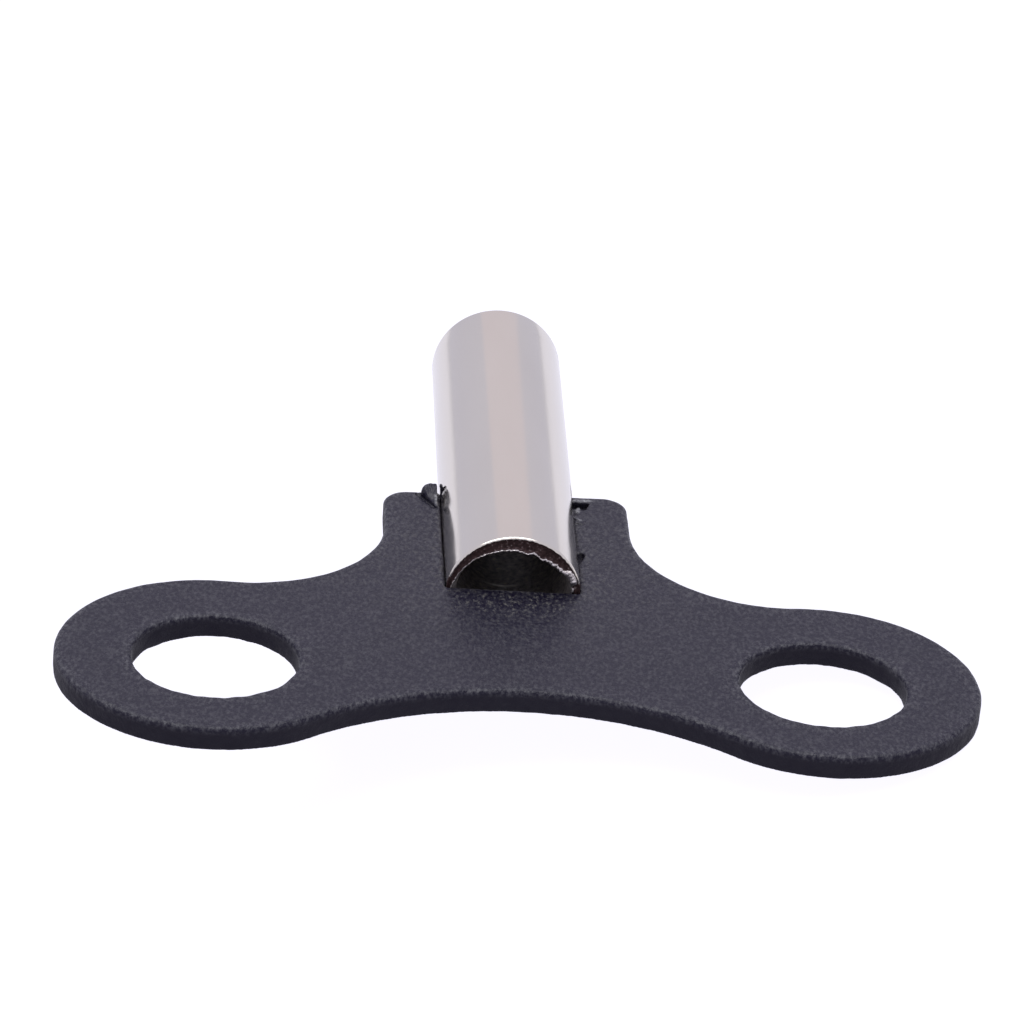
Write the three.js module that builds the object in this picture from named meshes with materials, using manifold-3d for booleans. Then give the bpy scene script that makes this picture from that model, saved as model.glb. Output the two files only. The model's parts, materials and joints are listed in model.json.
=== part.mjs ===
// A radiator bleed key: a stamped butterfly handle whose fork grips a plated socket tube.
// Millimetres, +Z up. The tube points along +Y, and the key lies on the tube and its right lobe at z = 0.
// Both pieces are drawn level, on the line through the two finger holes and the tube's axis, and the
// last group rolls them onto the ground.
import * as THREE from 'three';
import { mergeVertices } from 'three/addons/utils/BufferGeometryUtils.js';
import Module from 'manifold-3d';

// Driving dimensions of the handle.
const plateThickness = 1.5;
const edgeRounding = 0.3;         // rolled edge of the stamping under its coating
const holeSpacing = 38.5;
const holeDiameter = 10.9;
const lobeRadius = 9.95;
const lobeCentre = { x: 19.35, y: 0.52 };
const waistRadius = 21.55;        // hollow front edge between the lobes
const neckRadius = 9.6;           // hollow between a lobe and its prong
const prongHalfWidth = 8.1;       // from the middle to a prong's outer side
const prongEnd = 24.8;
const prongCorner = 1.6;
const notchHalfWidth = 4.4;
const notchBottom = 11;

// The staking that locks the tube: a burr on the left prong's tip and chisel marks on both tips.
// side is -1 for the left prong and 1 for the right one, inset is a mark's distance from the notch,
// and setback is its distance from the prong's end.
const burrRadius = 0.62;
const burrLength = 0.95;
const burrOverhang = 0.12;
const chiselMarks = [
  { side: 1, inset: 1.5, setback: 0.45, length: 2.2, width: 0.5, depth: 0.4, turn: 0 },
  { side: 1, inset: 0.9, setback: 1.9, length: 1.3, width: 0.4, depth: 0.3, turn: 0.12 },
  { side: -1, inset: 0.9, setback: 1.3, length: 1.9, width: 0.4, depth: 0.3, turn: 1.2 },
];

// Driving dimensions of the tube.
const tubeDiameter = 9;
const boreDiameter = 7.4;
const tubeEnd = 46.7;
const mouthRounding = 0.8;        // outer edge of the far end, where the tube meets the vent screw
const rearChamfer = 0.15;         // outer edge of the sawn end
const squareAcrossFlats = 5.1;    // takes a 5 mm square vent screw
const squareDepth = 12;
const squareLeadIn = 0.15;

// Clearance all round between the tube and the handle.
const pressGap = 0.25;

// Fineness of the curves.
const arcStep = 0.55;
const edgeSegments = 2;
const tubeSegments = 48;
const boreSegments = 48;
const roundingSegments = 5;
const burrSegments = 16;
const weldDistance = 1e-5;
const overcut = 1;                // how far a cutter runs past the face that it opens

// How the key lies: on a facet of the tube, rolled until the lower edge of its right lobe touches too.
const axisHeight = (tubeDiameter / 2) * Math.cos(Math.PI / tubeSegments);
const lobeEdge = lobeCentre.x + lobeRadius - edgeRounding;
const restingRoll = Math.asin(axisHeight / Math.hypot(lobeEdge, plateThickness / 2))
  - Math.atan2(plateThickness / 2, lobeEdge);

const wasm = await Module();
wasm.setup();

/** Turns a closed geometry into a solid that can be cut and joined. */
function solidOf(geometry) {
  geometry.deleteAttribute('normal');
  geometry.deleteAttribute('uv');
  const merged = mergeVertices(geometry, weldDistance);
  return new wasm.Manifold(new wasm.Mesh({
    numProp: 3,
    vertProperties: merged.attributes.position.array,
    triVerts: new Uint32Array(merged.index.array),
  }));
}

/** Turns a finished solid back into a geometry. */
function geometryOf(solid) {
  const { vertProperties, triVerts } = solid.getMesh();
  const geometry = new THREE.BufferGeometry();
  geometry.setAttribute('position', new THREE.BufferAttribute(vertProperties, 3));
  geometry.setIndex(new THREE.BufferAttribute(triVerts, 1));
  geometry.computeVertexNormals();
  return geometry;
}

/** A box between two opposite corners. */
function boxBetween(low, high) {
  const size = new THREE.Vector3().subVectors(high, low);
  const middle = new THREE.Vector3().addVectors(low, high).multiplyScalar(0.5);
  return new THREE.BoxGeometry(...size).translate(...middle);
}

/** Points on an arc round a centre, both ends included. */
function arc(centre, radius, start, end) {
  const steps = Math.ceil(Math.abs(end - start) * radius / arcStep) + 1;
  return Array.from({ length: steps + 1 }, (_, i) => {
    const angle = start + (end - start) * i / steps;
    return new THREE.Vector2(centre.x + radius * Math.cos(angle), centre.y + radius * Math.sin(angle));
  });
}

/** Leaves out every point that repeats the one before it, and a last one that repeats the first. */
function distinct(points) {
  return points.filter((point, i) => point.distanceTo(points.at(i - 1)) > weldDistance);
}

/** The right half of the outline, anticlockwise from the middle of the front edge to the notch. */
function rightHalf() {
  const waist = {
    x: 0,
    y: lobeCentre.y - Math.sqrt((waistRadius + lobeRadius) ** 2 - lobeCentre.x ** 2),
  };
  const neckX = prongHalfWidth + neckRadius;
  const neck = {
    x: neckX,
    y: lobeCentre.y + Math.sqrt((neckRadius + lobeRadius) ** 2 - (lobeCentre.x - neckX) ** 2),
  };
  const corner = { x: prongHalfWidth - prongCorner, y: prongEnd - prongCorner };
  const waistToLobe = Math.atan2(lobeCentre.y - waist.y, lobeCentre.x);
  const lobeToNeck = Math.atan2(neck.y - lobeCentre.y, neck.x - lobeCentre.x);
  return [
    ...arc(waist, waistRadius, Math.PI / 2, waistToLobe),
    ...arc(lobeCentre, lobeRadius, waistToLobe - Math.PI, lobeToNeck),
    ...arc(neck, neckRadius, lobeToNeck - Math.PI, -Math.PI),
    ...arc(corner, prongCorner, 0, Math.PI / 2),
    new THREE.Vector2(notchHalfWidth, prongEnd),
    new THREE.Vector2(notchHalfWidth, notchBottom),
  ];
}

/** The stamped blank seen from above, with its two finger holes. */
function blankShape() {
  const right = rightHalf();
  const left = right.map((point) => new THREE.Vector2(-point.x, point.y)).reverse();
  const shape = new THREE.Shape(distinct([...right, ...left]));
  for (const side of [-1, 1]) {
    const centre = { x: side * holeSpacing / 2, y: 0 };
    shape.holes.push(new THREE.Path(distinct(arc(centre, holeDiameter / 2, 0, 2 * Math.PI))));
  }
  return shape;
}

/** A chisel's wedge, edge down, lying along X but for its turn, and sunk into the upper face. */
function chiselWedge({ side, inset, setback, length, width, depth, turn }) {
  const spread = (width / 2) * (depth + overcut) / depth;
  const section = new THREE.Shape([
    new THREE.Vector2(0, -depth),
    new THREE.Vector2(spread, overcut),
    new THREE.Vector2(-spread, overcut),
  ]);
  return new THREE.ExtrudeGeometry(section, { depth: length, bevelEnabled: false })
    .translate(0, 0, -length / 2)
    .rotateX(Math.PI / 2)
    .rotateZ(Math.PI / 2 + turn)
    .translate(side * (notchHalfWidth + inset), prongEnd - setback, plateThickness / 2);
}

/** Metal that the staking blow pushed up at the tip of the left prong, beside the tube. */
function stakeBurr() {
  const x = -(notchHalfWidth + pressGap + burrRadius);
  const y = prongEnd + burrOverhang - burrLength / 2;
  return new THREE.CylinderGeometry(burrRadius, burrRadius, burrLength, burrSegments)
    .translate(x, y, plateThickness / 2);
}

/** The handle: blank with rolled edges, finger holes and notch, staked at the two prong tips. */
function handlePlateGeometry() {
  const blank = new THREE.ExtrudeGeometry(blankShape(), {
    depth: plateThickness - 2 * edgeRounding,
    bevelThickness: edgeRounding,
    bevelSize: edgeRounding,
    bevelOffset: -edgeRounding,
    bevelSegments: edgeSegments,
  }).translate(0, 0, edgeRounding - plateThickness / 2);
  const staked = solidOf(blank).add(solidOf(stakeBurr()));
  const marked = chiselMarks.reduce(
    (plate, mark) => plate.subtract(solidOf(chiselWedge(mark))),
    staked,
  );
  return geometryOf(marked);
}

/** The tube's outer body, sawn square behind and rounded in front, with a facet flat on the ground. */
function tubeBody(start) {
  const radius = tubeDiameter / 2;
  const centre = { x: radius - mouthRounding, y: tubeEnd - mouthRounding };
  const rounding = Array.from({ length: roundingSegments + 1 }, (_, i) => {
    const angle = (Math.PI / 2) * i / roundingSegments;
    return new THREE.Vector2(
      centre.x + mouthRounding * Math.cos(angle),
      centre.y + mouthRounding * Math.sin(angle),
    );
  });
  const profile = [
    new THREE.Vector2(0, start),
    new THREE.Vector2(radius - rearChamfer, start),
    new THREE.Vector2(radius, start + rearChamfer),
    ...rounding,
    new THREE.Vector2(0, tubeEnd),
  ];
  return new THREE.LatheGeometry(profile, tubeSegments, Math.PI / tubeSegments - restingRoll);
}

/** The round bore, from the sawn end up to where the square begins. */
function boreCutter(start) {
  const from = start - overcut;
  const to = tubeEnd - squareDepth;
  return new THREE.CylinderGeometry(boreDiameter / 2, boreDiameter / 2, to - from, boreSegments)
    .translate(0, (from + to) / 2, 0);
}

/** The square that drives the vent screw, and its lead-in at the mouth. */
function squareCutters() {
  const half = squareAcrossFlats / 2;
  const socket = boxBetween(
    new THREE.Vector3(-half, tubeEnd - squareDepth - overcut, -half),
    new THREE.Vector3(half, tubeEnd + overcut, half),
  );
  const narrow = half * Math.SQRT2;
  const wide = (half + 2 * squareLeadIn) * Math.SQRT2;
  const leadIn = new THREE.CylinderGeometry(wide, narrow, 2 * squareLeadIn, 4)
    .rotateY(Math.PI / 4)
    .translate(0, tubeEnd, 0);
  return [socket, leadIn];
}

/** The shallow groove along one side of the tube that a prong sits in. */
function sideGroove(side, start) {
  const bottom = notchHalfWidth - pressGap;
  const halfHeight = plateThickness / 2 + pressGap;
  const [low, high] = [side * bottom, side * tubeDiameter].sort((a, b) => a - b);
  return boxBetween(
    new THREE.Vector3(low, start - overcut, -halfHeight),
    new THREE.Vector3(high, prongEnd + 2 * pressGap, halfHeight),
  );
}

/** The tube: round outside, round bore behind, square socket in front, a groove on each side. */
function socketTubeGeometry() {
  const start = notchBottom + pressGap;
  const cutters = [
    boreCutter(start),
    ...squareCutters(),
    sideGroove(-1, start),
    sideGroove(1, start),
  ];
  const body = solidOf(tubeBody(start));
  return geometryOf(cutters.reduce((tube, cutter) => tube.subtract(solidOf(cutter)), body));
}

/** The black powder-coated handle. */
function handlePlate() {
  const coating = new THREE.MeshStandardMaterial({ color: 0x3d3c45, roughness: 0.6, metalness: 0.1 });
  const mesh = new THREE.Mesh(handlePlateGeometry(), coating);
  mesh.name = 'handle_plate';
  return mesh;
}

/** The bright nickel-plated tube. */
function socketTube() {
  const plating = new THREE.MeshStandardMaterial({ color: 0xcbc3c2, roughness: 0.18, metalness: 1 });
  const mesh = new THREE.Mesh(socketTubeGeometry(), plating);
  mesh.name = 'socket_tube';
  return mesh;
}

// Both pieces, moved so that the origin is under the middle of the key, on the ground.
const frontEdge = lobeCentre.y - lobeRadius;
const pieces = new THREE.Group();
pieces.add(handlePlate(), socketTube());
pieces.rotation.y = restingRoll;
pieces.position.set(0, -(frontEdge + tubeEnd) / 2, axisHeight);

const bleedKey = new THREE.Group();
bleedKey.add(pieces);

export default bleedKey;
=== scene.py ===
"""A radiator bleed key: a powder-coated butterfly handle whose fork grips a nickel-plated socket tube.

Both pieces are drawn in millimetres in the handle's own level frame: x to the right, y along the tube
from the line through the two finger holes, and z up through the plate from its middle. One matrix then
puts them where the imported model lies, rolled onto its right lobe.
"""
import json
import math

import bpy
import numpy as np
from mathutils import Matrix, Vector


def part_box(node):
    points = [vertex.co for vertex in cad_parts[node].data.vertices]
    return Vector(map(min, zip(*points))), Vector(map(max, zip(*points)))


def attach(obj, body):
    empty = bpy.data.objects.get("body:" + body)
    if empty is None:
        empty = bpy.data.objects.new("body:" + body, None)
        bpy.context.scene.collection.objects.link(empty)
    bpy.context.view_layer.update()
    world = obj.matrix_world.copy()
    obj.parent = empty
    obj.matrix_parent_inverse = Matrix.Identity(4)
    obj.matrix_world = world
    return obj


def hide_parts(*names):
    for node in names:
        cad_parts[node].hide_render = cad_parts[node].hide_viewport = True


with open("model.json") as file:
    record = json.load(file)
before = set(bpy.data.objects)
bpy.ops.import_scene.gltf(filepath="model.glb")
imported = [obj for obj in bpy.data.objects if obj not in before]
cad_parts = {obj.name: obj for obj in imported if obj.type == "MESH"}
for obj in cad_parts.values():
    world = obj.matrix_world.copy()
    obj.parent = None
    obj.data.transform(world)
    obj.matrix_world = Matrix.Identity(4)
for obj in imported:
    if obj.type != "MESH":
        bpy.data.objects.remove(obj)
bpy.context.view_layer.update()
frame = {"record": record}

MILLIMETRE = 0.001             # in metres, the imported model's unit
METRE = 1000.0                 # in millimetres, the unit of everything drawn here

# The handle's outline.
PLATE_THICKNESS = 1.5
HOLE_SPACING = 38.5
HOLE_RADIUS = 5.39
HOLE_UNLIKENESS = 0.03         # the left hole is this much tighter and the right one this much wider
LOBE_RADIUS = 9.95
LOBE_CENTRE = (19.35, 0.52)
WAIST_RADIUS = 21.55
NECK_RADIUS = 9.6
PRONG_HALF_WIDTH = 8.1
PRONG_END = 24.9
PRONG_END_SLOPE = 0.028        # the right prong is a little longer than the left one
PRONG_CORNER = 1.6
NOTCH_HALF_WIDTH = 4.44
NOTCH_BOTTOM = 11.0
NOTCH_CORNER = 0.3
UPPER_ROUNDING = 0.36          # punch side of the stamping
LOWER_ROUNDING = 0.1
HOLE_ROUNDING = 0.26
COATING = 0.08                 # the powder coat fills the outline, the holes and the notch this much
RIM_REACH = 0.5                # how far in from an edge its runs, its rougher texture and the painted rim highlight reach

# The tube. It was pressed in a little crooked: drawn back to y = 0, its axis is TUBE_SHIFT to the side,
# and it moves TUBE_LEAN to the right for each millimetre along y.
TUBE_START = 11.05
TUBE_SHIFT = -0.06
TUBE_LEAN = 0.0075
BORE_RADIUS = 3.7
MOUTH_ROUNDING = 0.4
LIP_CHAMFER = 0.09
SIDE_FLAT = 4.35               # where the prongs press on the tube's sides
SQUARE_HALF = 2.55
SQUARE_CORNER = 0.3
SQUARE_DEPTH = 12.0
SQUARE_LEAD_IN = 0.1
OPENING_HALF_WIDTH = 4.0       # the sawn end's opening, opened out by the saw
OPENING_HALF_HEIGHT = 3.5
OPENING_DEPTH = 1.0

# Marks on the surface: the x and y of each one's middle, and how far it reaches from there.
GLINT_PLACE = (-0.2, 20.1)   # a painted glint: a bright patch on the floor of the bore, standing in for light reflected in from the far mouth
GLINT_REACH = (0.8, 0.14)
HEAP_PLACE = (0, 9.6)          # the saw's filings, thick in front of the tube
HEAP_REACH = (4.4, 2.6)
SCATTER_PLACE = (0, 14)        # and thin all round the fork
SCATTER_REACH = (10, 10)
SCATTER_SHARE = 0.4

# The marks of staking at the prongs' tips. A mark is a round-ended rod, given by its two ends and its
# radius at each. Heights are measured from the plate's top.
FURROW = ((-5.75, 24.35, 0.12), (-4.72, 22.4, 0.06), 0.34, 0.22)
BURR = ((-4.98, 24.35, 0.1), (-4.62, 22.6, -0.02), 0.66, 0.12)
BURR_CREST = ((-4.8, 24.55, 0.46), (-4.6, 22.9, 0.06), 0.26, 0.1)
BURR_PLEATS = (
    ((-5.3, 24.9, 0.88), (-5.0, 23.2, 0.3), 0.22, 0.14),
    ((-4.86, 24.9, 0.88), (-4.74, 23.2, 0.3), 0.22, 0.14),
)
BURR_GAP = 0.08                # the burr stops this far to the left of the notch's uncoated wall
SLIVER = (
    ((-4.42, 24.1, -0.45), (-4.24, 24.4, 0.2), 0.13, 0.11),
    ((-4.24, 24.4, 0.2), (-4.34, 24.5, 0.61), 0.13, 0.11),
)
DENT_WALLS = (                 # a point on each wall of the dent, and the way out through it
    ((5.1, 24.2, 0), (0.06, 1, 0.1)),
    ((5.7, 24.2, 0), (1, -0.3, 0)),
    ((4.2, 24.2, 0), (-1, 0, 0)),
    ((5.0, 24.2, -0.5), (0, -0.4, -1)),
)
DENT_STREAK = ((4.95, 23.9, -0.4), (4.78, 22.6, -0.02), 0.16, 0.1)
SCAR = ((4.55, 23.1, 0.02), (4.5, 22.2, 0.04), 0.18, 0.15)
TOOL_MARK = ((4.42, 21.8, 0), (4.95, 21.45, -0.02), 0.15, 0.08)
PIT = ((4.5, 21.1, 0.05), (5.0, 20.9, 0.06), 0.18, 0.15)
NOTCH_NICK = ((4.6, 16.4, -0.12), (4.48, 15.3, -0.2), 0.38, 0.16)
RUBBED_BARE = (
    ((4.65, 24.45, 0), (5.6, 24.5, 0), 0.12, 0.12),
    ((4.9, 23.7, -0.25), (4.78, 22.7, 0), 0.1, 0.08),
    ((4.42, 21.85, 0), (4.95, 21.5, 0), 0.08, 0.05),
    ((-4.7, 23.6, 0.25), (-4.6, 22.7, 0.05), 0.05, 0.1),
)
BARE_FADE = 0.1                # how far round these the bare metal fades out
STAKED_HALF_WIDTH = 7          # all the marks lie nearer the middle than this
STAKED_FROM = 14               # and beyond this y
SOFT = 0.12                    # how wide the fillets are between the lumps of the burr
EASED = 0.1                    # in its pleats
CRISP = 0.04                   # at most marks
SHARP = 0.03                   # and at the sharpest

# Humps round the sawn opening: degrees from the top, width in degrees, and height in millimetres.
OPENING_HUMPS = ((12, 6, 0.1), (28, 6, 0.16), (44, 10, 0.12), (68, 7, -0.1))
OPENING_SHIFT = 0.12           # the saw took more from the left
BURR_HUMPS = ((26, 9, 0.05), (48, 12, 0.16), (66, 9, 0.5))
BURR_THICKNESS = 0.085         # without its humps
BURR_PEAK = (66, 13)           # where it sticks out of the tube's end
BURR_FADES = ((-80, 38), (92, 14))   # and where it dies away
DARK_LIP_FROM = 72              # degrees from the top, past which the lip takes the sawn face's dark colour, so the opening is darker towards the bottom

# The camera, in the handle's level frame.
CAMERA_PLACE = (-25.558, -304.655, 163.8)
CAMERA_FORWARD = (0.07084, 0.89263, -0.44519)
CAMERA_RIGHT = (0.99628, -0.04136, 0.07559)
LENS_LENGTH = 193.1
SENSOR_WIDTH = 36.0

# The floor, in metres.
FLOOR_GAP = 0.00002            # under the key
GLOW_NEAR, GLOW_FAR = 0.15, 0.5   # how far from the key its glow begins to fade, and where it stops

# Fineness.
GRID_STEP = 0.11
MOST_TRIANGLES = 190_000
TUBE_COLUMNS = 384
COLUMN_ANGLE = 2 * math.pi * np.arange(TUBE_COLUMNS) / TUBE_COLUMNS

# Where the handle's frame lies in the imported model.
TUBE_LOW, TUBE_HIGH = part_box("socket_tube")
HANDLE_LOW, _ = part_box("handle_plate")
AXIS_HEIGHT = (TUBE_LOW.z + TUBE_HIGH.z) / 2
HOLE_LINE = HANDLE_LOW.y + (LOBE_RADIUS - LOBE_CENTRE[1]) * MILLIMETRE
TUBE_END = (TUBE_HIGH.y - HOLE_LINE) * METRE
TUBE_RADIUS = AXIS_HEIGHT * METRE


def key_placement():
    """The turn and shift that take the handle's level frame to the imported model's place, in metres."""
    face = next(m for m in frame["record"]["mounts"] if m["name"] == "handle_upper_face")
    roll = math.atan2(face["axis"][0], face["axis"][2])
    return Matrix.Translation((0, HOLE_LINE, AXIS_HEIGHT)) @ Matrix.Rotation(roll, 4, "Y")


PLACEMENT = key_placement()
INTO_MODEL = PLACEMENT @ Matrix.Scale(MILLIMETRE, 4)   # from millimetres in the level frame


# Fields: signed distances in millimetres, negative inside the metal. p is an array of points, one a row.

def segment_distance(p, start, end):
    """Distance to a straight line between two points, and how far along it the nearest point lies, 0 to 1."""
    start = np.array(start, float)
    run = np.array(end, float) - start
    along = np.clip((p - start) @ run / (run @ run), 0, 1)
    return np.linalg.norm(p - start - along[:, None] * run, axis=1), along


def tapered_rod(p, start, end, start_radius, end_radius):
    """A round-ended rod whose radius changes from one end to the other."""
    distance, along = segment_distance(p, start, end)
    return distance - (start_radius + (end_radius - start_radius) * along)


def mark_rod(p, mark):
    """A mark's rod, with its heights taken from the plate's top."""
    (x, y, height), (end_x, end_y, end_height), radius, end_radius = mark
    top = PLATE_THICKNESS / 2
    return tapered_rod(p, (x, y, top + height), (end_x, end_y, top + end_height), radius, end_radius)


def half_space(p, point, normal):
    """Everything behind a plane through a point."""
    normal = np.array(normal, float)
    return (p - np.array(point, float)) @ (normal / np.linalg.norm(normal))


def joined(a, b, blend):
    """The union of two fields, with a fillet about as wide as blend."""
    overlap = np.clip(blend - np.abs(a - b), 0, None) / blend
    return np.minimum(a, b) - overlap * overlap * blend / 4


def cut(body, tool, blend):
    """body with tool taken away, its edges eased by about blend."""
    return -joined(-body, tool, blend)


def rounded_corner(u, v, radius):
    """Distance to the corner region where both u and v are negative, with its corner rounded."""
    outside = np.hypot(np.clip(u + radius, 0, None), np.clip(v + radius, 0, None))
    return outside + np.minimum(np.maximum(u, v) + radius, 0) - radius


def outline(x, y):
    """Distance to the handle's outer outline, without its notch."""
    side = np.abs(x)
    lobe_x, lobe_y = LOBE_CENTRE
    waist_y = lobe_y - math.sqrt((WAIST_RADIUS + LOBE_RADIUS) ** 2 - lobe_x ** 2)
    neck_x = PRONG_HALF_WIDTH + NECK_RADIUS
    neck_y = lobe_y + math.sqrt((NECK_RADIUS + LOBE_RADIUS) ** 2 - (lobe_x - neck_x) ** 2)
    waist_ends = lobe_x * WAIST_RADIUS / (WAIST_RADIUS + LOBE_RADIUS)
    neck_starts = lobe_x + (neck_x - lobe_x) * LOBE_RADIUS / (LOBE_RADIUS + NECK_RADIUS)
    lobe = np.hypot(side - lobe_x, y - lobe_y) - LOBE_RADIUS
    waist = WAIST_RADIUS - np.hypot(side, y - waist_y)
    neck = NECK_RADIUS - np.hypot(side - neck_x, y - neck_y)
    end = y - PRONG_END - PRONG_END_SLOPE * x
    prong = rounded_corner(side - PRONG_HALF_WIDTH, end, PRONG_CORNER)
    return np.select(
        [(y < lobe_y) & (side < waist_ends), (y < lobe_y) | (side > neck_starts), y < neck_y],
        [waist, lobe, neck],
        prong,
    )


def notch(x, y):
    """Distance to the notch between the prongs, negative in the notch."""
    return rounded_corner(np.abs(x) - NOTCH_HALF_WIDTH, NOTCH_BOTTOM - y, NOTCH_CORNER)


def holes(x, y):
    """Distance to the nearer finger hole, negative in the hole."""
    return np.hypot(np.abs(x) - HOLE_SPACING / 2, y) - HOLE_RADIUS - HOLE_UNLIKENESS * np.sign(x)


def plate_of(flat, z, upper_rounding):
    """The plate that a flat shape gives, with the edges of both faces rounded."""
    rounding = np.where(z > 0, upper_rounding, LOWER_ROUNDING)
    return rounded_corner(flat, np.abs(z) - PLATE_THICKNESS / 2, rounding)


def stake_left(body, p):
    """The blow on the left prong's tip: a furrow, the pleated burr it threw up, and a sliver on the tube."""
    body = cut(body, mark_rod(p, FURROW), CRISP)
    burr = joined(mark_rod(p, BURR), mark_rod(p, BURR_CREST), SOFT)
    for pleat in BURR_PLEATS:
        burr = cut(burr, mark_rod(p, pleat), EASED)
    beside_tube = half_space(p, (-NOTCH_HALF_WIDTH - BURR_GAP, NOTCH_BOTTOM, 0), (1, 0, 0.06))
    body = joined(body, np.maximum(burr, beside_tube), SHARP)
    for length in SLIVER:
        body = joined(body, mark_rod(p, length), CRISP)
    return body


def stake_right(body, p):
    """The blow on the right prong's tip: a stepped dent, a scar, a raised tool mark, a pit and a nick."""
    top = PLATE_THICKNESS / 2
    walls = [half_space(p, (x, y, top + height), way) for (x, y, height), way in DENT_WALLS]
    body = cut(body, np.max(walls, axis=0), CRISP)
    body = joined(body, mark_rod(p, DENT_STREAK), CRISP)
    body = cut(body, mark_rod(p, SCAR), SHARP)
    body = joined(body, mark_rod(p, TOOL_MARK), CRISP)
    body = cut(body, mark_rod(p, PIT), SHARP)
    return cut(body, mark_rod(p, NOTCH_NICK), CRISP)


def handle_field(p):
    """The whole handle: the rounded plate, its finger holes and notch, and the staking."""
    x, y, z = p.T
    body = plate_of(outline(x, y) - COATING, z, UPPER_ROUNDING)
    body = np.maximum(body, plate_of(-notch(x, y) - COATING, z, UPPER_ROUNDING))
    body = np.maximum(body, plate_of(-holes(x, y) - COATING, z, HOLE_ROUNDING))
    staked = (np.abs(x) < STAKED_HALF_WIDTH) & (y > STAKED_FROM)
    near = p[staked]
    body[staked] = stake_right(stake_left(body[staked], near), near)
    return body


def gradient(field, p, step=0.01):
    """The field's slope at each point, by central differences."""
    columns = []
    for axis in range(3):
        shift = np.zeros(3)
        shift[axis] = step
        columns.append((field(p + shift) - field(p - shift)) / (2 * step))
    return np.stack(columns, axis=1)


def surface_net(values):
    """Points, in grid steps, and quads of the surface where the gridded values change sign."""
    cells = np.array(values.shape) - 1
    points, owners, quads = [], [], []
    for axis in range(3):
        first = np.take(values, range(values.shape[axis] - 1), axis)
        second = np.take(values, range(1, values.shape[axis]), axis)
        edges = np.argwhere((first < 0) != (second < 0))
        low = first[tuple(edges.T)]
        high = second[tuple(edges.T)]
        crossing = edges.astype(float)
        crossing[:, axis] += low / (low - high)
        u = np.eye(3, dtype=int)[(axis + 1) % 3]
        v = np.eye(3, dtype=int)[(axis + 2) % 3]
        around = [edges - u - v, edges - v, edges, edges - u]
        corners = np.stack([np.ravel_multi_index(tuple(c.T), cells) for c in around], axis=1)
        corners[low > 0] = corners[low > 0][:, ::-1]
        quads.append(corners)
        owners.append(corners.ravel())
        points.append(np.repeat(crossing, 4, axis=0))
    names, index = np.unique(np.concatenate(owners), return_inverse=True)
    points = np.concatenate(points)
    count = np.bincount(index)
    mean = np.stack([np.bincount(index, points[:, a]) / count for a in range(3)], axis=1)
    return mean, np.searchsorted(names, np.concatenate(quads))


def waves(p, seed, longest, shortest, number):
    """Smooth seeded waviness between about -1 and 1: many plane waves in random directions."""
    random = np.random.default_rng(seed)
    total = np.zeros(len(p))
    for _ in range(number):
        direction = random.normal(size=3)
        direction *= 2 * math.pi / (random.uniform(shortest, longest) * np.linalg.norm(direction))
        total += np.sin(p @ direction + random.uniform(0, 2 * math.pi))
    return total * math.sqrt(2 / number) / 2


def pulled_onto(field, points):
    """The points moved onto the surface where the field is zero, by a few of Newton's steps."""
    for _ in range(3):
        slope = gradient(field, points)
        steepness = np.clip((slope * slope).sum(axis=1), 0.25, None)
        move = field(points) / steepness
        points = points - slope * np.clip(move, -GRID_STEP, GRID_STEP)[:, None]
    return points


def coating_height(p):
    """How much the powder coat rises and falls: a fine texture, and runs along the stamped edges."""
    texture = 0.003 * waves(p, seed=3, longest=1.6, shortest=0.6, number=40)
    runs = 0.014 * rim(p) + 0.034 * hole_rim(p)
    return texture + runs * waves(p, seed=4, longest=3.2, shortest=0.7, number=50)


def handle_surface():
    """The handle's skin, with the coating's waviness, in millimetres in its level frame."""
    margin = 3 * GRID_STEP
    burr_reach = np.array([0, 0.5, 0.9])   # room for it past the prong's end and above the plate
    lobe_x, lobe_y = LOBE_CENTRE
    low = np.array([-lobe_x - LOBE_RADIUS, lobe_y - LOBE_RADIUS, -PLATE_THICKNESS / 2]) - margin
    high = np.array([lobe_x + LOBE_RADIUS, PRONG_END, PLATE_THICKNESS / 2]) + burr_reach + margin
    shape = np.ceil((high - low) / GRID_STEP).astype(int) + 1
    grid = np.indices(shape).reshape(3, -1).T * GRID_STEP + low
    points, quads = surface_net(handle_field(grid).reshape(shape))
    points = pulled_onto(handle_field, points * GRID_STEP + low)
    normal = gradient(handle_field, points)
    normal /= np.linalg.norm(normal, axis=1)[:, None]
    return points + normal * coating_height(points)[:, None], quads


def new_piece(name, points, faces):
    """A smooth mesh object from points in the handle's frame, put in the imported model's place."""
    mesh = bpy.data.meshes.new(name)
    turn = np.array(INTO_MODEL)
    placed = points @ turn[:3, :3].T + turn[:3, 3]
    mesh.from_pydata(placed.tolist(), [], faces.tolist())
    mesh.validate()
    mesh.polygons.foreach_set("use_smooth", [True] * len(mesh.polygons))
    piece = bpy.data.objects.new(name, mesh)
    bpy.context.scene.collection.objects.link(piece)
    return piece


def apply_modifiers(piece):
    """Makes the mesh what its modifiers show."""
    depsgraph = bpy.context.evaluated_depsgraph_get()
    mesh = bpy.data.meshes.new_from_object(piece.evaluated_get(depsgraph))
    piece.modifiers.clear()
    piece.data = mesh


def thin_out(piece, most):
    """Takes triangles away where the surface is flattest, down to a number."""
    triangles = sum(len(face.vertices) - 2 for face in piece.data.polygons)
    if triangles > most:
        modifier = piece.modifiers.new("fewer", "DECIMATE")
        modifier.ratio = most / triangles
        apply_modifiers(piece)
        piece.data.polygons.foreach_set("use_smooth", [True] * len(piece.data.polygons))


def level_points(piece):
    """A piece's points back in the handle's level frame, in millimetres."""
    points = np.zeros(len(piece.data.vertices) * 3)
    piece.data.vertices.foreach_get("co", points)
    back = np.array(INTO_MODEL.inverted())
    return points.reshape(-1, 3) @ back[:3, :3].T + back[:3, 3]


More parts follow.
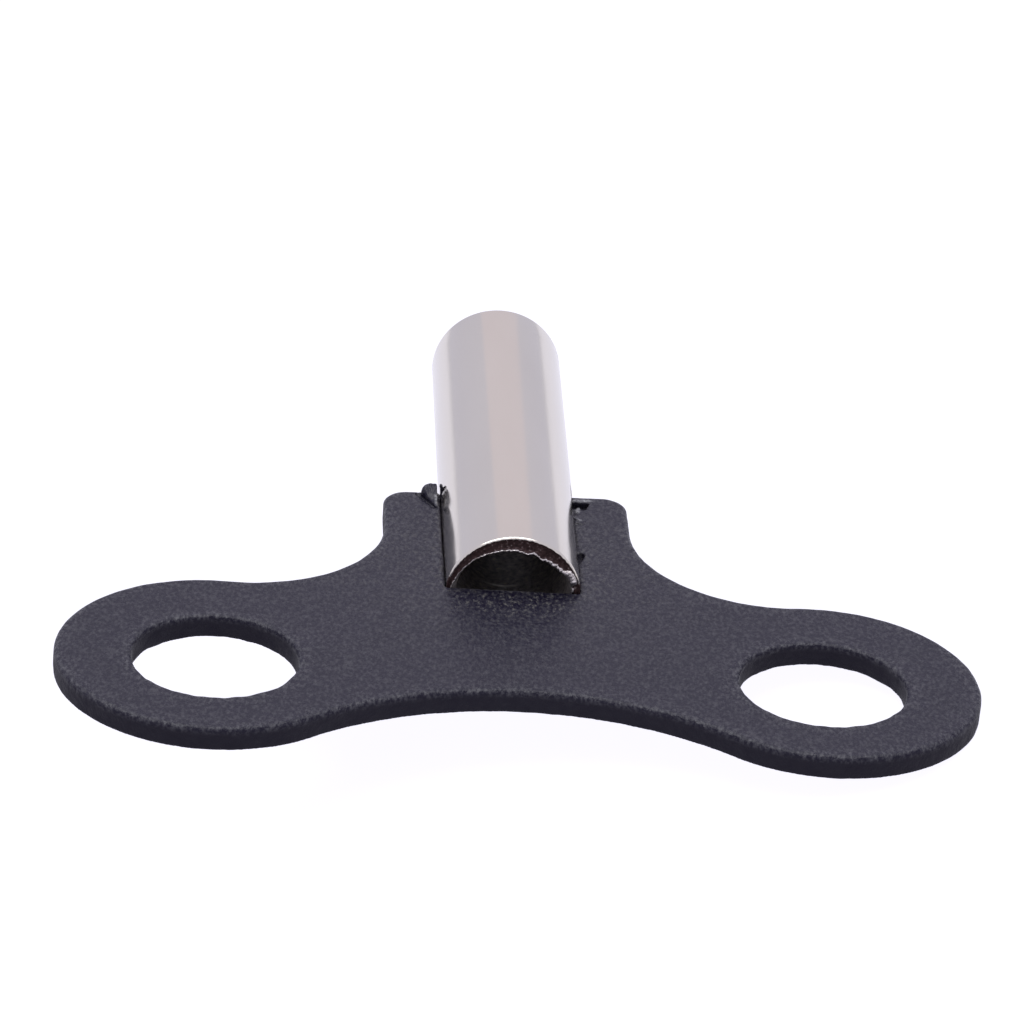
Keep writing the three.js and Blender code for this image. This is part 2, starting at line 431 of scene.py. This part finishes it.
def add_attribute(piece, name, values):
    """A number for each point, which the materials read."""
    attribute = piece.data.attributes.new(name, "FLOAT", "POINT")
    attribute.data.foreach_set("value", values.astype(np.float32))


def worn_metal(p):
    """How bare the staking left the metal, 0 to 1."""
    rubbed = [mark_rod(p, mark) for mark in RUBBED_BARE]
    return np.clip(1 - np.min(rubbed, axis=0) / BARE_FADE, 0, 1)


def rim(p):
    """How near the outline and the notch a point is, 0 to 1."""
    x, y, _ = p.T
    return np.exp(np.clip(np.maximum(outline(x, y), -notch(x, y)), None, 0) / RIM_REACH)


def hole_rim(p):
    """How near a finger hole a point is, 0 to 1."""
    x, y, _ = p.T
    return np.exp(-np.clip(holes(x, y), 0, None) / RIM_REACH)


def side_share(p):
    """How far round onto the stamped sides a point is, 0 on the faces and 1 on the sides."""
    height = p[:, 2]
    depth = PLATE_THICKNESS / 2 - np.abs(height)
    below_top = (depth - 0.08) / 0.4
    above_underside = depth / 0.05
    return np.clip(np.where(height > 0, below_top, above_underside), 0, 1)


def patch(p, place, reach):
    """How near the middle of a patch a point is, 0 to 1, as seen from above."""
    across = (p[:, 0] - place[0]) / reach[0]
    along = (p[:, 1] - place[1]) / reach[1]
    return np.exp(-across ** 2 - along ** 2)


def filings(p):
    """How thickly the saw's filings stuck to the coat: a heap in front of the tube, and a few all round."""
    heap = patch(p, HEAP_PLACE, HEAP_REACH)
    scattered = SCATTER_SHARE * patch(p, SCATTER_PLACE, SCATTER_REACH)
    return np.maximum(heap, scattered)


def make_handle():
    """The coated handle, which stands for the CAD plate."""
    points, quads = handle_surface()
    piece = new_piece("coated_handle", points, quads)
    thin_out(piece, MOST_TRIANGLES)
    points = level_points(piece)
    add_attribute(piece, "rim", np.maximum(rim(points), hole_rim(points)))
    add_attribute(piece, "side", side_share(points))
    add_attribute(piece, "filings", filings(points))
    add_attribute(piece, "worn", worn_metal(points))
    return piece


# The tube: rings of points, from the sawn end's outer lip forward, over the mouth and back down the bore.

def circle_ring(radius, y):
    """A ring round the tube's axis. radius and y are numbers, or one number for each column."""
    along = y * np.ones(TUBE_COLUMNS)
    across = radius * np.sin(COLUMN_ANGLE) + TUBE_SHIFT + TUBE_LEAN * along
    return np.stack([across, along, radius * np.cos(COLUMN_ANGLE)], axis=1)


def pressed(ring):
    """A ring of the outer wall, flattened where the prongs press on it."""
    squeezed = ring.copy()
    squeezed[:, 0] = np.clip(ring[:, 0], -SIDE_FLAT, SIDE_FLAT)
    return squeezed


def square_radius(half, corner):
    """Distance from the axis to a square with rounded corners, for each column."""
    folded = np.abs((COLUMN_ANGLE + math.pi / 4) % (math.pi / 2) - math.pi / 4)
    flat = half / np.cos(folded)
    centre = (half - corner) * math.sqrt(2)
    off = math.pi / 4 - folded
    swing = np.clip(corner ** 2 - (centre * np.sin(off)) ** 2, 0, None)
    round_part = centre * np.cos(off) + np.sqrt(swing)
    in_corner = half * np.tan(folded) > half - corner
    return np.where(in_corner, np.minimum(flat, round_part), flat)


def column_noise(seed, waves_round, number):
    """Seeded roughness round the tube, about -1 to 1, with no seam."""
    random = np.random.default_rng(seed)
    total = np.zeros(TUBE_COLUMNS)
    for _ in range(number):
        count = random.integers(*waves_round)
        total += np.sin(count * COLUMN_ANGLE + random.uniform(0, 2 * math.pi))
    return total * math.sqrt(2 / number) / 2


def hump(degrees, width):
    """A smooth hump of height 1 round the tube, centred at an angle from the top."""
    off = (np.degrees(COLUMN_ANGLE) - degrees + 180) % 360 - 180
    return np.exp(-(off / width) ** 2)


def humps(places, base):
    """Humps of their own heights, added to a base."""
    return sum((height * hump(degrees, width) for degrees, width, height in places), base)


def opening_radius():
    """The sawn end's opening: wider than tall, with a burr that hangs in on the right."""
    across = np.sin(COLUMN_ANGLE)
    ellipse = 1 / np.hypot(across / OPENING_HALF_WIDTH, np.cos(COLUMN_ANGLE) / OPENING_HALF_HEIGHT)
    shifted = ellipse - OPENING_SHIFT * across
    jagged = 0.03 * column_noise(11, (8, 30), 20) + 0.035 * column_noise(12, (30, 110), 30)
    return np.minimum(shifted - humps(OPENING_HUMPS, 0) + jagged, TUBE_RADIUS - 0.3)


def outer_wall(lip, nicks):
    """Rings from the sawn end's lip, along the outside and round the mouth's rim."""
    rings = [
        pressed(circle_ring(TUBE_RADIUS - LIP_CHAMFER + nicks, lip)),
        pressed(circle_ring(TUBE_RADIUS - LIP_CHAMFER / 3, TUBE_START + LIP_CHAMFER / 3)),
        pressed(circle_ring(TUBE_RADIUS, TUBE_START + LIP_CHAMFER)),
    ]
    prong_tip = PRONG_END + 0.3
    for y in np.linspace(TUBE_START + 0.3, prong_tip, 8):
        rings.append(pressed(circle_ring(TUBE_RADIUS, y)))
    for y in np.linspace(prong_tip + 0.4, TUBE_END - MOUTH_ROUNDING, 12):
        rings.append(circle_ring(TUBE_RADIUS, y))
    for turn in np.linspace(0, math.pi / 2, 10)[1:]:
        radius = TUBE_RADIUS - MOUTH_ROUNDING * (1 - math.cos(turn))
        rings.append(circle_ring(radius, TUBE_END - MOUTH_ROUNDING * (1 - math.sin(turn))))
    mouth = square_radius(SQUARE_HALF + SQUARE_LEAD_IN, SQUARE_CORNER)
    rings.append(circle_ring(mouth + 0.04, TUBE_END))
    return rings


def inner_wall(opening):
    """Rings from the square socket's lead-in, down the round bore to the sawn opening."""
    mouth = square_radius(SQUARE_HALF + SQUARE_LEAD_IN, SQUARE_CORNER)
    socket = square_radius(SQUARE_HALF, SQUARE_CORNER)
    socket_end = TUBE_END - SQUARE_DEPTH
    rings = [circle_ring(mouth - 0.02, TUBE_END - 0.03), circle_ring(socket, TUBE_END - 0.16)]
    for y in np.linspace(TUBE_END - 1, socket_end, 8):
        rings.append(circle_ring(socket, y))
    rings.append(circle_ring(BORE_RADIUS - 0.1, socket_end - 0.4))
    # Finer rings under the painted glint on the bore's floor.
    glint_high = GLINT_PLACE[1] + 0.5
    glint_low = GLINT_PLACE[1] - 0.5
    for start, end, number in (
        (socket_end - 0.6, glint_high + 1, 6),
        (glint_high, glint_low, 11),
        (glint_low - 1, TUBE_START + 1.6, 5),
    ):
        for y in np.linspace(start, end, number):
            rings.append(circle_ring(BORE_RADIUS, y))
    for share in (0.25, 0.5, 0.75, 0.9):
        radius = BORE_RADIUS + (opening - BORE_RADIUS) * share ** 2
        rings.append(circle_ring(radius, TUBE_START + OPENING_DEPTH * (1 - share)))
    return rings


def burr_rings(opening):
    """The torn burr round the opening: its rings, and its outer radius for each column."""
    front = TUBE_START - 0.03 + 0.04 * column_noise(31, (30, 120), 30) - 0.16 * hump(*BURR_PEAK)
    fading = 1
    for place in BURR_FADES:
        fading = fading * (1 - hump(*place))
    ragged = 1 + 0.5 * column_noise(32, (14, 60), 20)
    width = humps(BURR_HUMPS, BURR_THICKNESS) * fading * ragged + 0.01
    edge = np.minimum(opening + width, TUBE_RADIUS - LIP_CHAMFER - 0.06)
    rings = [
        circle_ring(opening, front + 0.07),
        circle_ring(opening + 0.05, front),
        circle_ring(edge - 0.03, front + 0.02),
    ]
    return rings, edge


def sawn_rings(inner, outer):
    """The uneven sawn end of the wall, between two radii."""
    face = TUBE_START + 0.03 + 0.02 * column_noise(33, (6, 30), 16)
    rings = [circle_ring(inner, face)]
    for share, seed in ((0.33, 37), (0.66, 40)):
        uneven = face + 0.02 * column_noise(seed, (8, 60), 20)
        rings.append(circle_ring(inner + (outer - inner) * share, uneven))
    return rings


def tube_bands():
    """The tube's rings in order, each with the name of the material that follows it."""
    nicks = 0.012 * column_noise(21, (20, 90), 24)
    lip = TUBE_START + nicks
    opening = opening_radius()
    outer = TUBE_RADIUS - LIP_CHAMFER - 0.03 + nicks
    burr, burr_edge = burr_rings(opening)
    parts = (
        (outer_wall(lip, nicks), "nickel"),
        (inner_wall(opening), "bore"),
        (burr, "burr"),
        (sawn_rings(burr_edge, outer), "sawn"),
        ([pressed(circle_ring(outer, lip + 0.01))], "nickel"),
    )
    return [(ring, material) for rings, material in parts for ring in rings]


def painted_glint(p):
    """How strongly the painted glint, a bright patch on the floor of the bore, colours a point, 0 to 1."""
    return np.where(p[:, 2] < 0, patch(p, GLINT_PLACE, GLINT_REACH), 0)


def ring_quads(count):
    """Quads that join a number of rings in order, and the last ring to the first."""
    row, column = np.meshgrid(np.arange(count), np.arange(TUBE_COLUMNS), indexing="ij")
    next_row = (row + 1) % count
    next_column = (column + 1) % TUBE_COLUMNS
    return np.stack([
        row * TUBE_COLUMNS + column,
        next_row * TUBE_COLUMNS + column,
        next_row * TUBE_COLUMNS + next_column,
        row * TUBE_COLUMNS + next_column,
    ], axis=-1).reshape(-1, 4)


def make_tube():
    """The plated tube, which stands for the CAD tube."""
    bands = tube_bands()
    points = np.concatenate([ring for ring, _ in bands])
    piece = new_piece("plated_tube", points, ring_quads(len(bands)))
    # The mask of the painted glint, a bright patch on the bore's floor, read by the bore's material.
    add_attribute(piece, "painted_glint", painted_glint(points))
    makers = {"nickel": nickel_plating, "bore": dark_bore, "burr": bright_burr, "sawn": sawn_face}
    for maker in makers.values():
        piece.data.materials.append(maker())
    order = list(makers)
    indices = np.repeat([order.index(name) for _, name in bands], TUBE_COLUMNS)
    indices = indices.reshape(len(bands), TUBE_COLUMNS)
    # The lip's lower rows take the sawn face's dark colour, so the opening is darker towards the bottom.
    lower_lip = np.cos(COLUMN_ANGLE) < math.cos(math.radians(DARK_LIP_FROM))
    for lip_row in (0, 1, -1):
        indices[lip_row, lower_lip] = order.index("sawn")
    piece.data.polygons.foreach_set("material_index", indices.ravel())
    return piece


# Materials.

def new_material(name):
    """A new node material, its shader, and the functions that add nodes to it and link them."""
    material = bpy.data.materials.new(name)
    material.use_nodes = True
    nodes = material.node_tree.nodes
    shader = next(n for n in nodes if n.type == "BSDF_PRINCIPLED")

    def add(kind, **settings):
        node = nodes.new("ShaderNode" + kind)
        for key, value in settings.items():
            setattr(node, key, value)
        return node

    return material, shader, add, material.node_tree.links.new


def noise(add, link, scale, detail=2.0, roughness=0.5, stretch=(1, 1, 1)):
    """Noise in the piece's own space. scale is in lumps per millimetre."""
    place = add("TexCoord")
    size = add("Mapping")
    size.inputs["Scale"].default_value = [METRE * s for s in stretch]
    lumps = add("TexNoise")
    lumps.inputs["Scale"].default_value = scale
    lumps.inputs["Detail"].default_value = detail
    lumps.inputs["Roughness"].default_value = roughness
    link(place.outputs["Object"], size.inputs["Vector"])
    link(size.outputs["Vector"], lumps.inputs["Vector"])
    return lumps.outputs["Fac"]


def ramp(add, link, value, stops):
    """Maps a number to colours. stops are pairs of a position and a colour."""
    node = add("ValToRGB")
    elements = node.color_ramp.elements
    while len(elements) < len(stops):
        elements.new(0.5)
    for element, (position, colour) in zip(elements, stops):
        element.position = position
        element.color = (*colour, 1)
    link(value, node.inputs["Fac"])
    return node.outputs["Color"]


def to_range(add, link, value, low, high, from_low=0.3, from_high=0.7):
    """Maps a number to another range."""
    node = add("MapRange")
    node.inputs["From Min"].default_value = from_low
    node.inputs["From Max"].default_value = from_high
    node.inputs["To Min"].default_value = low
    node.inputs["To Max"].default_value = high
    link(value, node.inputs["Value"])
    return node.outputs["Result"]


def bump(add, link, height, depth):
    """Tilts the surface by a height map. depth is in millimetres."""
    node = add("Bump")
    node.inputs["Strength"].default_value = 1.0
    node.inputs["Distance"].default_value = depth * MILLIMETRE
    link(height, node.inputs["Height"])
    return node.outputs["Normal"]


def blended(add, link, amount, first, second):
    """Mixes two colours by an amount. A colour is three numbers, or another node's output."""
    node = add("Mix", data_type="RGBA")
    link(amount, node.inputs["Factor"])
    for name, colour in (("A", first), ("B", second)):
        if isinstance(colour, tuple):
            node.inputs[name].default_value = (*colour, 1)
        else:
            link(colour, node.inputs[name])
    return node.outputs["Result"]


def attribute(add, name):
    """Reads one of the piece's attributes."""
    return add("Attribute", attribute_name=name).outputs["Fac"]


def maths(add, link, operation, first, second):
    """One sum on two outputs."""
    node = add("Math", operation=operation)
    link(first, node.inputs[0])
    link(second, node.inputs[1])
    return node.outputs[0]


def times(add, link, first, second):
    """One output multiplied by another."""
    return maths(add, link, "MULTIPLY", first, second)


def coat_colour(add, link, near_rim, on_face):
    """Blue-black, with light specks that are partly the coat's grain and partly painted glints, brighter near
    the edges as a painted rim highlight; with stuck filings and metal rubbed bare.
    """
    dark, light = (0.0036, 0.0027, 0.0102), (0.0046, 0.0035, 0.0118)
    face = ramp(add, link, noise(add, link, 0.25, detail=3), [(0.3, dark), (0.7, light)])
    coat = blended(add, link, on_face, (0.0055, 0.0044, 0.0102), face)
    # Light specks, partly the coat's grain and partly painted glints, kept off the stamped sides.
    grain = noise(add, link, 4.6, detail=2, roughness=0.6, stretch=(1, 0.55, 0.8))
    specks_and_glints = times(add, link, to_range(add, link, grain, 0, 0.32, 0.44, 0.74), on_face)
    # Painted rim highlight: the specks grow up to 2.4 times as strong near the outline, the notch and the
    # finger holes.
    specks_and_glints = times(add, link, specks_and_glints, to_range(add, link, near_rim, 1, 2.4, 0, 1))
    coat = blended(add, link, specks_and_glints, coat, (0.075, 0.074, 0.08))
    bits = noise(add, link, 4.2, detail=3, roughness=0.65, stretch=(1, 0.6, 0.8))
    stuck = times(add, link, to_range(add, link, bits, 0, 1, 0.53, 0.66), attribute(add, "filings"))
    coat = blended(add, link, stuck, coat, (0.085, 0.082, 0.076))
    scratches = to_range(add, link, noise(add, link, 6, detail=4, roughness=0.7), 0.1, 1.0, 0.35, 0.6)
    bare = times(add, link, attribute(add, "worn"), scratches)
    return blended(add, link, bare, coat, (0.2, 0.2, 0.21))


def coat_roughness(add, link, on_face):
    """Satin on the faces and matt on the stamped sides."""
    gloss = to_range(add, link, noise(add, link, 1.3, detail=4), 0.34, 0.46)
    matt = to_range(add, link, on_face, 0.28, 0, 0, 1)
    return maths(add, link, "ADD", gloss, matt)


def coat_texture(add, link, near_rim, on_face):
    """The fine lumps of the powder, coarser at the edges."""
    lumps = noise(add, link, 3.4, detail=3, roughness=0.6, stretch=(1, 0.6, 0.8))
    rough_rim = times(add, link, near_rim, to_range(add, link, on_face, 0.35, 1, 0, 1))
    coarser = to_range(add, link, rough_rim, 1, 2.5, 0, 1)
    height = times(add, link, to_range(add, link, lumps, -1, 1), coarser)
    return bump(add, link, height, 0.012)


def black_powder_coat():
    """Fine-textured blue-black powder coat, rubbed to bare steel where the prongs were staked."""
    material, shader, add, link = new_material("black_powder_coat")
    near_rim = attribute(add, "rim")
    on_face = to_range(add, link, attribute(add, "side"), 1, 0, 0, 1)
    link(coat_colour(add, link, near_rim, on_face), shader.inputs["Base Color"])
    link(coat_roughness(add, link, on_face), shader.inputs["Roughness"])
    link(coat_texture(add, link, near_rim, on_face), shader.inputs["Normal"])
    shader.inputs["IOR"].default_value = 1.28
    return material


def nickel_plating():
    """Bright nickel with faint drawing marks along the tube."""
    material, shader, add, link = new_material("nickel_plating")
    tone = noise(add, link, 0.35, detail=2, stretch=(1, 0.25, 1))
    colour = ramp(add, link, tone, [(0.3, (0.655, 0.61, 0.535)), (0.7, (0.675, 0.63, 0.555))])
    link(colour, shader.inputs["Base Color"])
    shader.inputs["Metallic"].default_value = 1.0
    shader.inputs["Specular Tint"].default_value = (0.86, 0.87, 0.9, 1)
    marks = noise(add, link, 9, detail=3, stretch=(1, 0.06, 1))
    link(to_range(add, link, marks, 0.13, 0.19), shader.inputs["Roughness"])
    link(bump(add, link, marks, 0.0006), shader.inputs["Normal"])
    return material


def metal(name, tones, shine, roughness, lumps, depth, glint_colour=None):
    """A rough raw metal in two tones with flecks of a third, and the colour of a painted glint if it has one.
    """
    dark, light, flecks = tones
    material, shader, add, link = new_material(name)
    spots = noise(add, link, lumps, detail=4, roughness=0.65)
    colour = ramp(add, link, spots, [(0.35, dark), (0.6, light), (0.68, flecks)])
    if glint_colour:
        colour = blended(add, link, attribute(add, "painted_glint"), colour, glint_colour)
    link(colour, shader.inputs["Base Color"])
    shader.inputs["Metallic"].default_value = shine
    link(to_range(add, link, spots, roughness + 0.1, roughness - 0.1), shader.inputs["Roughness"])
    link(bump(add, link, spots, depth), shader.inputs["Normal"])
    return material


def dark_bore():
    """The oxidised inside of the tube, with a painted glint on its floor."""
    tones = (0.12, 0.11, 0.108), (0.28, 0.25, 0.23), (0.36, 0.34, 0.24)
    return metal("dark_bore", tones, 0.4, 0.5, 3, 0.02, glint_colour=(0.98, 0.95, 0.86))


def bright_burr():
    """Torn steel along the sawn opening."""
    tones = (0.3, 0.27, 0.25), (0.75, 0.7, 0.66), (0.9, 0.88, 0.86)
    return metal("bright_burr", tones, 1.0, 0.35, 8, 0.02)


def sawn_face():
    """The sawn wall, stained brown, with bare scratches."""
    tones = (0.02, 0.009, 0.008), (0.06, 0.03, 0.027), (0.3, 0.25, 0.23)
    return metal("sawn_face", tones, 0.5, 0.5, 5, 0.03)


# The stage.

def make_floor():
    """A pale table top, glowing most round the key, so that shadows stay soft and its far side is grey."""
    reach = 3.0
    corners = [(-reach, -reach, 0), (reach, -reach, 0), (reach, reach, 0), (-reach, reach, 0)]
    mesh = bpy.data.meshes.new("table_top")
    mesh.from_pydata(corners, [], [(0, 1, 2, 3)])
    floor = bpy.data.objects.new("table_top", mesh)
    floor.location.z = -FLOOR_GAP
    bpy.context.scene.collection.objects.link(floor)
    material, shader, add, link = new_material("white_table")
    shader.inputs["Base Color"].default_value = (0.07, 0.07, 0.07, 1)
    shader.inputs["Roughness"].default_value = 0.9
    shader.inputs["Specular IOR Level"].default_value = 0.0
    shader.inputs["Emission Color"].default_value = (1, 0.985, 1.11, 1)
    place = add("TexCoord")
    away = add("VectorMath", operation="LENGTH")
    link(place.outputs["Object"], away.inputs[0])
    glow = to_range(add, link, away.outputs["Value"], 0.97, 0.62, GLOW_NEAR, GLOW_FAR)
    link(glow, shader.inputs["Emission Strength"])
    floor.data.materials.append(material)


def add_panel(name, location, target, size, power, colour):
    """A soft rectangular light that faces a point."""
    light = bpy.data.lights.new(name, "AREA")
    light.shape = "RECTANGLE"
    light.size, light.size_y = size
    light.energy = power
    light.color = colour
    panel = bpy.data.objects.new(name, light)
    panel.location = location
    panel.rotation_euler = (Vector(target) - Vector(location)).to_track_quat("-Z", "Y").to_euler()
    bpy.context.scene.collection.objects.link(panel)


def add_lights():
    """Even bluish daylight all round, a soft box overhead, and a faint warm panel behind."""
    world = bpy.data.worlds.new("studio")
    world.use_nodes = True
    background = world.node_tree.nodes["Background"]
    background.inputs["Color"].default_value = (0.775, 0.768, 0.912, 1)
    background.inputs["Strength"].default_value = 1.0
    bpy.context.scene.world = world
    add_panel("overhead", (0, 0.25, 1.1), (0, 0, 0), (1.3, 1.1), 17.0, (1, 1, 1))
    add_panel("warm_panel", (0.14, 1.5, 0.62), (0, 0, 0), (0.72, 0.5), 0.11, (1.0, 0.5, 0.14))


def add_camera():
    """The camera, placed in the handle's level frame and carried along with it."""
    lens_data = bpy.data.cameras.new("camera")
    lens_data.sensor_width = SENSOR_WIDTH
    lens_data.lens = LENS_LENGTH
    lens_data.clip_start = 0.01
    back = -Vector(CAMERA_FORWARD).normalized()
    right = Vector(CAMERA_RIGHT)
    right = (right - back * right.dot(back)).normalized()
    up = back.cross(right)
    turn = Matrix((right, up, back)).transposed().to_4x4()
    place = Matrix.Translation(Vector(CAMERA_PLACE) * MILLIMETRE)
    camera = bpy.data.objects.new("camera", lens_data)
    camera.matrix_world = PLACEMENT @ place @ turn
    bpy.context.scene.collection.objects.link(camera)
    bpy.context.scene.camera = camera


bpy.context.scene.view_settings.view_transform = "Standard"
add_camera()
add_lights()
make_floor()

handle = make_handle()
handle.data.materials.append(black_powder_coat())
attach(handle, "root")
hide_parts("handle_plate")

tube = make_tube()
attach(tube, "root")
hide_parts("socket_tube")
